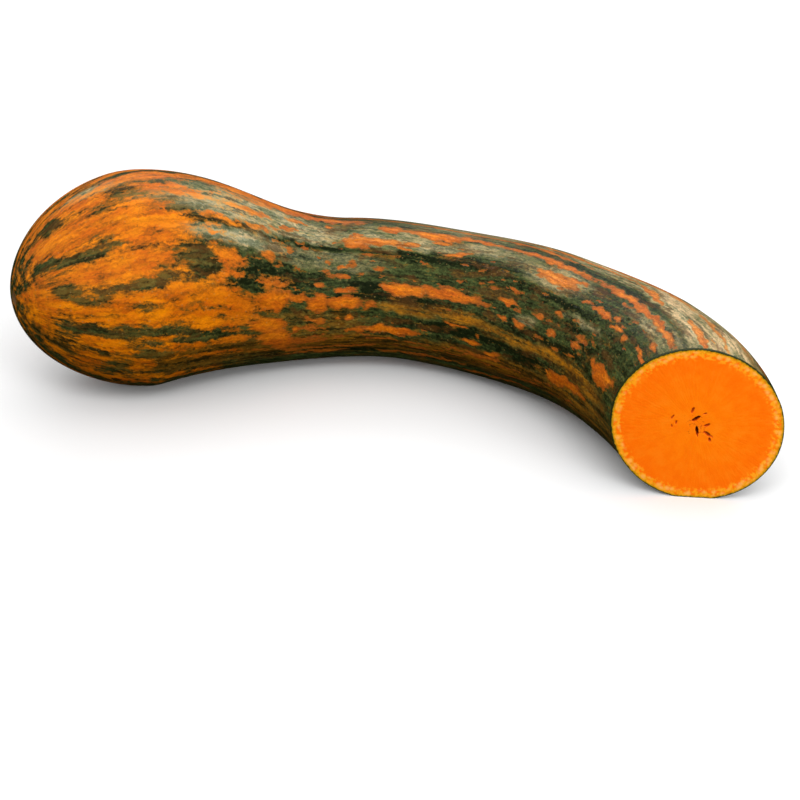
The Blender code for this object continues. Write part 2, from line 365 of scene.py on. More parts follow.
class PumpkinSizes(bpy.types.PropertyGroup):
    """Sizes of the fruit and fineness of its mesh."""
    length: FloatProperty(
        name="Length", description="Along the centre line", default=0.548, unit="LENGTH")
    start_heading: FloatProperty(
        name="Start heading", description="Direction of the blossom end", default=math.radians(24.0),
        subtype="ANGLE")
    bend_start: FloatProperty(
        name="Bend start", description="Where the bend begins", default=0.1505, unit="LENGTH")
    bend_ease: FloatProperty(
        name="Bend ease", description="Stretch over which the bend sets in", default=0.0355, unit="LENGTH")
    bend_radius: FloatProperty(
        name="Bend radius", description="Radius of the main bend", default=0.1885, unit="LENGTH")
    late_start: FloatProperty(
        name="Late bend start", description="Where the bend opens out", default=0.360, unit="LENGTH")
    late_ease: FloatProperty(
        name="Late bend ease", description="Stretch over which it opens out", default=0.020, unit="LENGTH")
    late_radius: FloatProperty(
        name="Late bend radius", description="Radius of the bend near the cut", default=0.257, unit="LENGTH")
    bulb_radius: FloatProperty(
        name="Bulb radius", description="Radius of the bulb", default=0.072, unit="LENGTH")
    nose_length: FloatProperty(
        name="Nose length", description="Length of the rounded blossom end", default=0.0915, unit="LENGTH")
    nose_power: FloatProperty(
        name="Nose power", description="Bluntness of the blossom end, where 2 is elliptical", default=1.9)
    taper_start: FloatProperty(
        name="Taper start", description="Where the bulb begins to narrow", default=0.0765, unit="LENGTH")
    taper_end: FloatProperty(
        name="Taper end", description="Where the neck begins", default=0.227, unit="LENGTH")
    waist_radius: FloatProperty(
        name="Waist radius", description="Radius of the neck's waist", default=0.0464, unit="LENGTH")
    flare_start: FloatProperty(
        name="Flare start", description="Where the neck begins to widen", default=0.376, unit="LENGTH")
    flare_end: FloatProperty(
        name="Flare end", description="Where the neck has its full width", default=0.469, unit="LENGTH")
    cut_radius: FloatProperty(
        name="Cut radius", description="Radius of the neck at the cut", default=0.0502, unit="LENGTH")
    swell_height: FloatProperty(
        name="Swell height", description="Height of the neck's slow swelling", default=0.00075,
        unit="LENGTH")
    swell_at: FloatProperty(
        name="Swell place", description="Where the neck swells most", default=0.366, unit="LENGTH")
    swell_spacing: FloatProperty(
        name="Swell spacing", description="Distance from swell to swell", default=0.160, unit="LENGTH")
    bulb_narrowing: FloatProperty(
        name="Bulb narrowing", description="Width of the bulb over its height", default=0.94)
    waist_lift: FloatProperty(
        name="Waist lift", description="Height of the waist above the floor", default=0.003, unit="LENGTH")
    waist_lift_at: FloatProperty(
        name="Waist lift place", description="Where the waist is highest", default=0.245, unit="LENGTH")
    waist_lift_reach: FloatProperty(
        name="Waist lift reach", description="Reach of the lift each way", default=0.055, unit="LENGTH")
    flat_sink: FloatProperty(
        name="Flat sink", description="Depth that the resting spots are flattened by", default=0.0010,
        unit="LENGTH")
    cut_turn: FloatProperty(
        name="Cut turn", description="Turn of the cut away from square", default=math.radians(-15.6),
        subtype="ANGLE")
    cut_zone: FloatProperty(
        name="Cut zone", description="Stretch over which sections turn to the cut", default=0.160,
        unit="LENGTH")
    rib_count: IntProperty(
        name="Rib count", description="Number of lengthwise ribs", default=10)
    rib_height: FloatProperty(
        name="Rib height", description="Height of the ribs", default=0.00045, unit="LENGTH")
    rib_fade: FloatProperty(
        name="Rib fade", description="Stretch over which the ribs grow in", default=0.030, unit="LENGTH")
    rib_calm_start: FloatProperty(
        name="Rib calm start", description="Where the ribs begin to die down", default=0.360, unit="LENGTH")
    rib_calm_share: FloatProperty(
        name="Rib calm share", description="Share of their height that is left at the cut", default=0.15,
        subtype="FACTOR")
    scar_depth: FloatProperty(
        name="Scar depth", description="Depth of the blossom scar", default=0.0014, unit="LENGTH")
    scar_radius: FloatProperty(
        name="Scar radius", description="Radius of the blossom scar", default=0.0045, unit="LENGTH")
    dent_height: FloatProperty(
        name="Dent height", description="Height of the skin's small dents", default=0.00030, unit="LENGTH")
    dent_spacing: FloatProperty(
        name="Dent spacing", description="Distance from dent to dent", default=0.018, unit="LENGTH")
    sides: IntProperty(
        name="Sides", description="Points round each ring", default=240)
    tip_crowding: FloatProperty(
        name="Tip crowding", description="Above 1 it crowds the rings together at the tip", default=1.35)
    nose_rows: IntProperty(
        name="Nose rows", description="Rings on the blossom end", default=52)
    body_rows: IntProperty(
        name="Body rows", description="Rings on the rest of the rind", default=236)
    face_rows: IntProperty(
        name="Face rows", description="Rings on the outer part of the cut", default=24)
    core_rows: IntProperty(
        name="Core rows", description="Rings on the middle of the cut", default=44)
    core_share: FloatProperty(
        name="Core share", description="Share of the cut's radius with close rings", default=0.34,
        subtype="FACTOR")


class PumpkinColours(bpy.types.PropertyGroup):
    """Main colours of the rind, the flesh and the floor."""
    deep_green: FloatVectorProperty(
        name="Deep green", description="Darkest green of the rind", subtype="COLOR",
        default=linear("#161E0A")[:3])
    leaf_green: FloatVectorProperty(
        name="Leaf green", description="Usual green of the rind", subtype="COLOR",
        default=linear("#4E5A2C")[:3])
    # Pale green of the bloom patches, which also carry a painted sheen
    grey_green: FloatVectorProperty(
        name="Grey green", description="Green under the waxy bloom", subtype="COLOR",
        default=linear("#989A7A")[:3])
    olive_brown: FloatVectorProperty(
        name="Olive brown", description="Where green turns to orange", subtype="COLOR",
        default=linear("#74500E")[:3])
    bulb_orange: FloatVectorProperty(
        name="Bulb orange", description="Orange of the bulb", subtype="COLOR",
        default=linear("#EC8600")[:3])
    neck_orange: FloatVectorProperty(
        name="Neck orange", description="Orange of the neck's streaks", subtype="COLOR",
        default=linear("#F0850C")[:3])
    flesh_orange: FloatVectorProperty(
        name="Flesh orange", description="Orange of the cut flesh", subtype="COLOR",
        default=linear("#FF7000")[:3])
    rim_yellow: FloatVectorProperty(
        name="Rim yellow", description="Paler flesh under the rind", subtype="COLOR",
        default=linear("#FFA21C")[:3])
    floor_white: FloatVectorProperty(
        name="Floor white", description="Colour of the floor", subtype="COLOR",
        default=linear("#F4F4F4")[:3])


TREE_SIZES = (
    "length", "nose_length", "nose_power", "taper_end", "bulb_narrowing", "cut_turn", "cut_zone",
    "rib_count", "rib_height", "rib_fade", "rib_calm_start", "rib_calm_share", "scar_depth", "scar_radius",
    "dent_height", "dent_spacing", "sides", "tip_crowding", "nose_rows", "body_rows", "face_rows",
    "core_rows", "core_share",
)


def add(tree, kind, inputs=(), stops=(), **settings):
    """Add a node with its settings, links or values for its inputs, and stops of its ramp."""
    node = tree.nodes.new(kind)
    node.location = (200 * (len(tree.nodes) % 14), -280 * (len(tree.nodes) // 14))
    for name, value in settings.items():
        setattr(node, name, value)
    sockets = [socket for socket in node.inputs if socket.enabled]
    named = inputs.items() if isinstance(inputs, dict) else enumerate(inputs)
    for key, value in named:
        if value is None:
            continue
        socket = sockets[key] if isinstance(key, int) else [item for item in sockets if item.name == key][0]
        if isinstance(value, bpy.types.Node):
            value = [item for item in value.outputs if item.enabled][0]
        if isinstance(value, bpy.types.NodeSocket):
            tree.links.new(value, socket)
        else:
            socket.default_value = value
    for number, (position, colour) in enumerate(stops):
        elements = node.color_ramp.elements
        stop = elements[0] if number == 0 else elements[-1] if number == 1 else elements.new(position)
        stop.position = position
        stop.color = colour
    return node


def smoothstep(value):
    """Rise from 0 to 1 with level ends."""
    t = np.clip(value, 0.0, 1.0)
    return t * t * (3.0 - 2.0 * t)


def eased_ramp(value, ease):
    """Zero before 0 and value after it, with a soft knee."""
    return ease * np.logaddexp(0.0, value / ease)


def full_radius(sizes, distance):
    """Radius of the fruit before the nose is rounded off."""
    flare = smoothstep((distance - sizes.flare_start) / (sizes.flare_end - sizes.flare_start))
    wave = np.cos(2.0 * math.pi * (distance - sizes.swell_at) / sizes.swell_spacing)
    neck = sizes.waist_radius + (sizes.cut_radius - sizes.waist_radius) * flare + sizes.swell_height * wave
    taper = smoothstep((distance - sizes.taper_start) / (sizes.taper_end - sizes.taper_start))
    return sizes.bulb_radius + (neck - sizes.bulb_radius) * taper


def draw_centre_line(sizes):
    """Make the bent centre line as a chain of points that know the fruit's radius."""
    distance = np.linspace(0.0, sizes.length, round(sizes.length / CENTRE_STEP) + 1)
    middle = (distance[1:] + distance[:-1]) / 2.0
    heading = sizes.start_heading - eased_ramp(middle - sizes.bend_start, sizes.bend_ease) / sizes.bend_radius
    slack = 1.0 / sizes.bend_radius - 1.0 / sizes.late_radius
    heading = heading + slack * eased_ramp(middle - sizes.late_start, sizes.late_ease)
    step = distance[1] - distance[0]
    radius = full_radius(sizes, distance)
    points = np.zeros((len(distance), 3))
    points[1:, 0] = np.cumsum(np.cos(heading)) * step
    points[1:, 1] = np.cumsum(np.sin(heading)) * step
    lift = sizes.waist_lift * np.exp(-((distance - sizes.waist_lift_at) / sizes.waist_lift_reach) ** 2)
    points[:, 2] = radius + lift - sizes.flat_sink
    mesh = bpy.data.meshes.new("pumpkin_centre_line")
    mesh.from_pydata(points.tolist(), [(number, number + 1) for number in range(len(points) - 1)], [])
    mesh.attributes.new("full_radius", "FLOAT", "POINT").data.foreach_set("value", radius)
    chain = bpy.data.objects.new(mesh.name, mesh)
    bpy.context.collection.objects.link(chain)
    return chain


def slit_group():
    """Node group: how deep one slit is at a place on the cut."""
    tree = bpy.data.node_groups.new("pumpkin_slit", "GeometryNodeTree")
    for name, kind in (("Place", "Vector"), ("Middle", "Vector"), ("Angle", "Float"),
                       ("Half size", "Vector"), ("Depth", "Float")):
        tree.interface.new_socket(name, in_out="INPUT", socket_type="NodeSocket" + kind)
    tree.interface.new_socket("Depth here", in_out="OUTPUT", socket_type="NodeSocketFloat")
    given = add(tree, "NodeGroupInput").outputs
    away = add(tree, "ShaderNodeVectorMath", (given["Place"], given["Middle"]), operation="SUBTRACT")
    back = add(tree, "ShaderNodeMath", (given["Angle"], -1.0), operation="MULTIPLY")
    level = add(tree, "ShaderNodeVectorRotate", {"Vector": away, "Angle": back}, rotation_type="Z_AXIS")
    share = add(tree, "ShaderNodeVectorMath", (level, given["Half size"]), operation="DIVIDE")
    flat = add(tree, "ShaderNodeVectorMath", (share, (1.0, 1.0, 0.0)), operation="MULTIPLY")
    reach = add(tree, "ShaderNodeVectorMath", (flat,), operation="LENGTH")
    # Torn edges, with teeth about 1.5 mm apart
    torn = add(tree, "ShaderNodeTexNoise", {"Vector": given["Place"], "Scale": 650.0, "Detail": 2.0})
    ragged = add(tree, "ShaderNodeMath", (torn, 1.1, reach.outputs["Value"]), operation="MULTIPLY_ADD")
    depth = add(tree, "ShaderNodeMapRange", (ragged, 1.05, 1.65, given["Depth"], 0.0),
                interpolation_type="SMOOTHSTEP")
    add(tree, "NodeGroupOutput", (depth,))
    return tree


def label(key):
    """Plain words for the name of a size, such as Nose rows for nose_rows."""
    return key.replace("_", " ").capitalize()


def fruit_tree(sizes):
    """Node tree that sweeps the fruit along the centre line and closes it over the cut."""
    tree = bpy.data.node_groups.new("pumpkin_sweep", "GeometryNodeTree")
    tree.interface.new_socket("Centre line", in_out="INPUT", socket_type="NodeSocketGeometry")
    for key in TREE_SIZES:
        kind = "NodeSocketInt" if isinstance(getattr(sizes, key), int) else "NodeSocketFloat"
        tree.interface.new_socket(label(key), in_out="INPUT", socket_type=kind)
    for name in ("Rind", "Flesh"):
        tree.interface.new_socket(name, in_out="INPUT", socket_type="NodeSocketMaterial")
    tree.interface.new_socket("Fruit", in_out="OUTPUT", socket_type="NodeSocketGeometry")
    given = add(tree, "NodeGroupInput").outputs

    # Centre line, laid flat so that distances along it are those of its plan
    curve = add(tree, "GeometryNodeMeshToCurve", (given["Centre line"],))
    centre = add(tree, "GeometryNodeInputPosition")
    tangent = add(tree, "GeometryNodeInputTangent")
    curve = add(tree, "GeometryNodeStoreNamedAttribute",
                {"Geometry": curve, "Name": "centre", "Value": centre}, data_type="FLOAT_VECTOR")
    curve = add(tree, "GeometryNodeStoreNamedAttribute",
                {"Geometry": curve, "Name": "tangent", "Value": tangent}, data_type="FLOAT_VECTOR")
    flat = add(tree, "ShaderNodeVectorMath", (centre, (1.0, 1.0, 0.0)), operation="MULTIPLY")
    curve = add(tree, "GeometryNodeSetPosition", {"Geometry": curve, "Position": flat})

    # Rows of a grid: nose, body, outer part of the cut, core of the cut
    ends = [given["Nose rows"]]
    for key in ("body_rows", "face_rows", "core_rows"):
        ends.append(add(tree, "ShaderNodeMath", (ends[-1], given[label(key)]), operation="ADD"))
    rows = add(tree, "ShaderNodeMath", (ends[-1], 1.0), operation="ADD")
    columns = add(tree, "ShaderNodeMath", (given["Sides"], 1.0), operation="ADD")
    grid = add(tree, "GeometryNodeMeshGrid", (1.0, 1.0, rows, columns))
    spot = add(tree, "ShaderNodeVectorMath", (add(tree, "GeometryNodeInputPosition"), (0.5, 0.5, 0.0)),
               operation="ADD")
    parts = add(tree, "ShaderNodeSeparateXYZ", (spot,)).outputs
    row = add(tree, "ShaderNodeMath", (parts["X"], ends[-1]), operation="MULTIPLY")
    angle = add(tree, "ShaderNodeMath", (parts["Y"], 2.0 * math.pi), operation="MULTIPLY")
    done = [add(tree, "ShaderNodeMapRange", (row, start, end, 0.0, 1.0))
            for start, end in zip([0.0, *ends], ends)]

    # Distance along the centre line, and share of the section's radius
    crowded = add(tree, "ShaderNodeMath", (done[0], given["Tip crowding"]), operation="POWER")
    quarter = add(tree, "ShaderNodeMath", (crowded, math.pi / 2.0), operation="MULTIPLY")
    fall = add(tree, "ShaderNodeMath", (quarter,), operation="COSINE")
    rise = add(tree, "ShaderNodeMath", (1.0, fall), operation="SUBTRACT")
    past_nose = add(tree, "ShaderNodeMath", (given["Length"], given["Nose length"]), operation="SUBTRACT")
    body = add(tree, "ShaderNodeMath", (done[1], past_nose), operation="MULTIPLY")
    along = add(tree, "ShaderNodeMath", (rise, given["Nose length"], body), operation="MULTIPLY_ADD")
    outer = add(tree, "ShaderNodeMath", (1.0, given["Core share"]), operation="SUBTRACT")
    outer = add(tree, "ShaderNodeMath", (outer, done[2]), operation="MULTIPLY")
    inward = add(tree, "ShaderNodeMath", (given["Core share"], done[3], outer), operation="MULTIPLY_ADD")
    share = add(tree, "ShaderNodeMath", (1.0, inward), operation="SUBTRACT")

    # Centre and directions of the section
    centre = add(tree, "GeometryNodeSampleCurve",
                 {"Curves": curve, "Length": along, "Value": add(
                     tree, "GeometryNodeInputNamedAttribute", {"Name": "centre"}, data_type="FLOAT_VECTOR")},
                 mode="LENGTH", data_type="FLOAT_VECTOR")
    tangent = add(tree, "GeometryNodeSampleCurve",
                  {"Curves": curve, "Length": along, "Value": add(
                      tree, "GeometryNodeInputNamedAttribute", {"Name": "tangent"}, data_type="FLOAT_VECTOR")},
                  mode="LENGTH", data_type="FLOAT_VECTOR")
    full = add(tree, "GeometryNodeSampleCurve",
               {"Curves": curve, "Length": along, "Value": add(
                   tree, "GeometryNodeInputNamedAttribute", {"Name": "full_radius"}, data_type="FLOAT")},
               mode="LENGTH", data_type="FLOAT")
    zone_start = add(tree, "ShaderNodeMath", (given["Length"], given["Cut zone"]), operation="SUBTRACT")
    to_cut = add(tree, "ShaderNodeMapRange", (along, zone_start, given["Length"], 0.0, 1.0),
                 interpolation_type="SMOOTHSTEP")
    turn = add(tree, "ShaderNodeMath", (to_cut, given["Cut turn"]), operation="MULTIPLY")
    upright = add(tree, "ShaderNodeMath", (1.0, to_cut), operation="SUBTRACT")
    squash = add(tree, "ShaderNodeCombineXYZ", (1.0, 1.0, upright))
    tangent = add(tree, "ShaderNodeVectorMath", (tangent, squash), operation="MULTIPLY")
    tangent = add(tree, "ShaderNodeVectorRotate", {"Vector": tangent, "Angle": turn}, rotation_type="Z_AXIS")
    forward = add(tree, "ShaderNodeVectorMath", (tangent,), operation="NORMALIZE")
    across = add(tree, "ShaderNodeVectorMath", ((0.0, 0.0, 1.0), forward), operation="CROSS_PRODUCT")
    across = add(tree, "ShaderNodeVectorMath", (across,), operation="NORMALIZE")
    up = add(tree, "ShaderNodeVectorMath", (forward, across), operation="CROSS_PRODUCT")

    # Skin's own roll, on which angle and length along the surface don't crowd at the tip
    cosine = add(tree, "ShaderNodeMath", (angle,), operation="COSINE")
    sine = add(tree, "ShaderNodeMath", (angle,), operation="SINE")
    roll_length = add(tree, "ShaderNodeMapRange", (done[0], 0.0, 1.0, -0.037, 0.0))
    roll_length = add(tree, "ShaderNodeMath", (roll_length, along), operation="ADD")
    skin_place = add(tree, "ShaderNodeCombineXYZ", (cosine, sine, 0.0))
    skin_place = add(tree, "ShaderNodeVectorMath",
                     {"Vector": skin_place, "Scale": PATTERN_RADIUS}, operation="SCALE")
    lengthwise = add(tree, "ShaderNodeCombineXYZ", (0.0, 0.0, roll_length))
    skin_place = add(tree, "ShaderNodeVectorMath", (skin_place, lengthwise), operation="ADD")

    # Ribs, slow waves and small dents on the round section
    from_bottom = add(tree, "ShaderNodeMath", (angle, math.pi / 2.0), operation="ADD")
    rib_angle = add(tree, "ShaderNodeMath", (from_bottom, given["Rib count"]), operation="MULTIPLY")
    ribs = add(tree, "ShaderNodeMath", (rib_angle,), operation="COSINE")
    rib_height = add(tree, "ShaderNodeMapRange", (along, given["Rib calm start"], given["Length"],
                                                  1.0, given["Rib calm share"]),
                     interpolation_type="SMOOTHSTEP")
    rib_height = add(tree, "ShaderNodeMath", (rib_height, given["Rib height"]), operation="MULTIPLY")
    relief = add(tree, "ShaderNodeMath", (ribs, rib_height), operation="MULTIPLY")
    for height, spacing, lobes, start in WAVES:
        phase = add(tree, "ShaderNodeMath", (along, 2.0 * math.pi / spacing, math.radians(start)),
                    operation="MULTIPLY_ADD")
        phase = add(tree, "ShaderNodeMath", (angle, float(lobes), phase), operation="MULTIPLY_ADD")
        wave = add(tree, "ShaderNodeMath", (phase,), operation="SINE")
        relief = add(tree, "ShaderNodeMath", (wave, height, relief), operation="MULTIPLY_ADD")
    dents_per_metre = add(tree, "ShaderNodeMath", (1.0, given["Dent spacing"]), operation="DIVIDE")
    dents = add(tree, "ShaderNodeTexNoise", {"Vector": skin_place, "Scale": dents_per_metre, "Detail": 2.0})
    dents = add(tree, "ShaderNodeMath", (dents, 0.5), operation="SUBTRACT")
    relief = add(tree, "ShaderNodeMath", (dents, given["Dent height"], relief), operation="MULTIPLY_ADD")
    grown = add(tree, "ShaderNodeMapRange", (along, 0.0, given["Rib fade"], 0.0, 1.0),
                interpolation_type="SMOOTHSTEP")
    radius = add(tree, "ShaderNodeMath", (grown, relief, full), operation="MULTIPLY_ADD")

    # Rounded blossom end
    nose = add(tree, "ShaderNodeMapRange", (along, 0.0, given["Nose length"], 1.0, 0.0))
    nose = add(tree, "ShaderNodeMath", (nose, given["Nose power"]), operation="POWER")
    nose = add(tree, "ShaderNodeMath", (1.0, nose), operation="SUBTRACT")
    root = add(tree, "ShaderNodeMath", (1.0, given["Nose power"]), operation="DIVIDE")
    nose = add(tree, "ShaderNodeMath", (nose, root), operation="POWER")
    radius = add(tree, "ShaderNodeMath", (radius, nose), operation="MULTIPLY")

    # Section, narrower at the bulb, stretched where it turns to the cut, flat where it rests
    neck_start = given["Taper end"]
    neck_full = add(tree, "ShaderNodeMath", (neck_start, 2.0), operation="MULTIPLY")
    narrowing = add(tree, "ShaderNodeMapRange", (along, neck_start, neck_full, given["Bulb narrowing"], 1.0),
                    interpolation_type="SMOOTHSTEP")
    squareness = add(tree, "ShaderNodeMath", (turn,), operation="COSINE")
    widening = add(tree, "ShaderNodeMath", (narrowing, squareness), operation="DIVIDE")
    sideways = add(tree, "ShaderNodeMath", (radius, cosine), operation="MULTIPLY")
    sideways = add(tree, "ShaderNodeMath", (sideways, widening), operation="MULTIPLY")
    upwards = add(tree, "ShaderNodeMath", (radius, sine), operation="MULTIPLY")
    centre_height = add(tree, "ShaderNodeSeparateXYZ", (centre,)).outputs["Z"]
    up_height = add(tree, "ShaderNodeSeparateXYZ", (up,)).outputs["Z"]
    to_floor = add(tree, "ShaderNodeMath", (centre_height, up_height), operation="DIVIDE")
    to_floor = add(tree, "ShaderNodeMath", (to_floor, -1.0), operation="MULTIPLY")
    upwards = add(tree, "ShaderNodeMath", (upwards, to_floor), operation="MAXIMUM")
    section = add(tree, "ShaderNodeCombineXYZ", (sideways, upwards, 0.0))
    section = add(tree, "ShaderNodeVectorMath", {"Vector": section, "Scale": share}, operation="SCALE")

    # Slits of the seed hollow
    group = slit_group()
    depth = 0.0
    for across_at, up_at, length, width, deep, slit_angle in SLITS:
        one = add(tree, "GeometryNodeGroup", {
            "Place": section, "Middle": (across_at, up_at, 0.0), "Angle": math.radians(slit_angle),
            "Half size": (length / 2.0, width / 2.0, 1.0), "Depth": deep}, node_tree=group)
        depth = add(tree, "ShaderNodeMath", (one, depth), operation="MAXIMUM")
    on_cut = add(tree, "ShaderNodeMath", (done[2], 0.0), operation="GREATER_THAN")
    depth = add(tree, "ShaderNodeMath", (depth, on_cut), operation="MULTIPLY")

    # Blossom scar
    scar = add(tree, "ShaderNodeMath", (radius, given["Scar radius"]), operation="DIVIDE")
    scar = add(tree, "ShaderNodeMath", (scar, 2.0), operation="POWER")
    scar = add(tree, "ShaderNodeMath", (scar, -1.0), operation="MULTIPLY")
    scar = add(tree, "ShaderNodeMath", (scar,), operation="EXPONENT")
    inset = add(tree, "ShaderNodeMath", (scar, given["Scar depth"]), operation="MULTIPLY")
    inset = add(tree, "ShaderNodeMath", (inset, depth), operation="SUBTRACT")

    # Points of the skin
    split = add(tree, "ShaderNodeSeparateXYZ", (section,)).outputs
    point = centre
    for direction, amount in ((across, split["X"]), (up, split["Y"]), (forward, inset)):
        step = add(tree, "ShaderNodeVectorMath", {"Vector": direction, "Scale": amount}, operation="SCALE")
        point = add(tree, "ShaderNodeVectorMath", (point, step), operation="ADD")
    from_rim = add(tree, "ShaderNodeMath", (inward, radius), operation="MULTIPLY")
    cut_place = add(tree, "ShaderNodeCombineXYZ", (split["X"], split["Y"], from_rim))
    unrolled = add(tree, "ShaderNodeCombineXYZ", (parts["Y"], parts["X"], 0.0))
    slit_share = add(tree, "ShaderNodeMath", (depth, SLIT_FULL_DEPTH), operation="DIVIDE")
    fruit = add(tree, "GeometryNodeStoreNamedAttribute",
                {"Geometry": grid, "Name": "UVMap", "Value": unrolled}, data_type="FLOAT2", domain="CORNER")
    for name, value, kind in (("skin_place", skin_place, "FLOAT_VECTOR"), ("along", along, "FLOAT"),
                              ("ring_radius", radius, "FLOAT"), ("cut_place", cut_place, "FLOAT_VECTOR"),
                              ("slit", slit_share, "FLOAT"), ("point", point, "FLOAT_VECTOR")):
        fruit = add(tree, "GeometryNodeStoreNamedAttribute",
                    {"Geometry": fruit, "Name": name, "Value": value}, data_type=kind)
    stored = add(tree, "GeometryNodeInputNamedAttribute", {"Name": "point"}, data_type="FLOAT_VECTOR")
    fruit = add(tree, "GeometryNodeSetPosition", {"Geometry": fruit, "Position": stored})
    fruit = add(tree, "GeometryNodeRemoveAttribute", {"Geometry": fruit, "Name": "point"})
    fruit = add(tree, "GeometryNodeMergeByDistance", {"Geometry": fruit, "Distance": MERGE_DISTANCE})

    # Faces of the cut are those that lie inside the rim
    inside = add(tree, "GeometryNodeInputNamedAttribute", {"Name": "cut_place"}, data_type="FLOAT_VECTOR")
    inside = add(tree, "ShaderNodeSeparateXYZ", (inside,)).outputs["Z"]
    inside = add(tree, "ShaderNodeMath", (inside, 0.0), operation="GREATER_THAN")
    fruit = add(tree, "GeometryNodeRealizeInstances", (fruit,))
    fruit = add(tree, "GeometryNodeSetMaterial", {"Geometry": fruit, "Material": given["Rind"]})
    fruit = add(tree, "GeometryNodeSetMaterial",
                {"Geometry": fruit, "Selection": inside, "Material": given["Flesh"]})
    add(tree, "NodeGroupOutput", (fruit,))
    return tree


def mark_strength(along, angle, marks):
    """Strength of the strongest mark at each point, in millimetres along and degrees round."""
    strongest = np.zeros(len(along))
    for start, end, low, high, slant, strength in marks:
        lengthwise = (along - (start + end) / 2.0) / ((end - start) / 2.0)
        middle = (low + high) / 2.0 + slant * np.clip(lengthwise, -1.5, 1.5) / 2.0
        roundwise = ((angle - middle + 180.0) % 360.0 - 180.0) / ((high - low) / 2.0)
        away = np.sqrt(lengthwise ** 2 + roundwise ** 2)
        strongest = np.maximum(strongest, strength * (1.0 - smoothstep((away - 0.5) / 1.0)))
    return strongest


def scatter_marks():
    """Lay out marks for the back and the underside, like those that show."""
    chance = np.random.default_rng(SCATTER_SEED)
    marks = []
    for _ in range(SCATTER_COUNT):
        start = chance.uniform(0.0, 530.0)
        length = chance.uniform(22.0, 90.0)
        low = chance.uniform(*SCATTER_ANGLES)
        width = chance.uniform(5.0, 11.0)
        marks.append((start, start + length, low, low + width, chance.uniform(-3.0, 5.0),
                      chance.uniform(0.5, 1.0)))
    return marks


def lay_out_marks(mesh):
    """Give each point its leaning to orange, brown and pale or dark, and its share of flecks."""
    place = np.zeros(len(mesh.vertices) * 3)
    mesh.attributes["skin_place"].data.foreach_get("vector", place)
    along = np.zeros(len(mesh.vertices))
    mesh.attributes["along"].data.foreach_get("value", along)
    points = np.zeros(len(mesh.vertices) * 3)
    mesh.vertices.foreach_get("co", points)
    drift = np.array([noise.noise_vector(Vector(point) * WANDER_SCALE) for point in points.reshape(-1, 3)])
    angle = np.degrees(np.arctan2(place[1::3], place[0::3])) + WANDER_ROUND * drift[:, 0]
    along = along * 1000.0 + WANDER_ALONG * drift[:, 1]
    scattered = scatter_marks()
    orange = np.maximum(mark_strength(along, angle, ORANGE_MARKS), mark_strength(along, angle, scattered))
    orange = orange - mark_strength(along, angle, GREEN_MARKS)
    brown = np.maximum(mark_strength(along, angle, BROWN_MARKS),
                       0.6 * mark_strength(along, angle, scattered[::2]))
    # Pale marks: a real waxy bloom, and in part a painted sheen on the lit top
    pale = mark_strength(along, angle, PALE_MARKS) - mark_strength(along, angle, DARK_MARKS)
    leaning = np.stack([orange, brown, pale], axis=1).astype(np.float32)
    mesh.attributes.new("leaning", "FLOAT_VECTOR", "POINT").data.foreach_set("vector", leaning.ravel())
    flecks = 0.4 + 0.6 * mark_strength(along, angle, FLECK_MARKS)
    mesh.attributes.new("flecks", "FLOAT", "POINT").data.foreach_set("value", flecks.astype(np.float32))


def fit_to_box(mesh, box):
    """Move and size the mesh by less than a millimetre, so that it fills the box of the CAD solid."""
    points = np.zeros(len(mesh.vertices) * 3)
    mesh.vertices.foreach_get("co", points)
    points = points.reshape(-1, 3)
    low = points.min(axis=0)
    high = points.max(axis=0)
    want_low, want_high = (np.array(corner) for corner in box)
    points = want_low + (points - low) * (want_high - want_low) / (high - low)
    mesh.vertices.foreach_set("co", points.ravel())
    mesh.update()


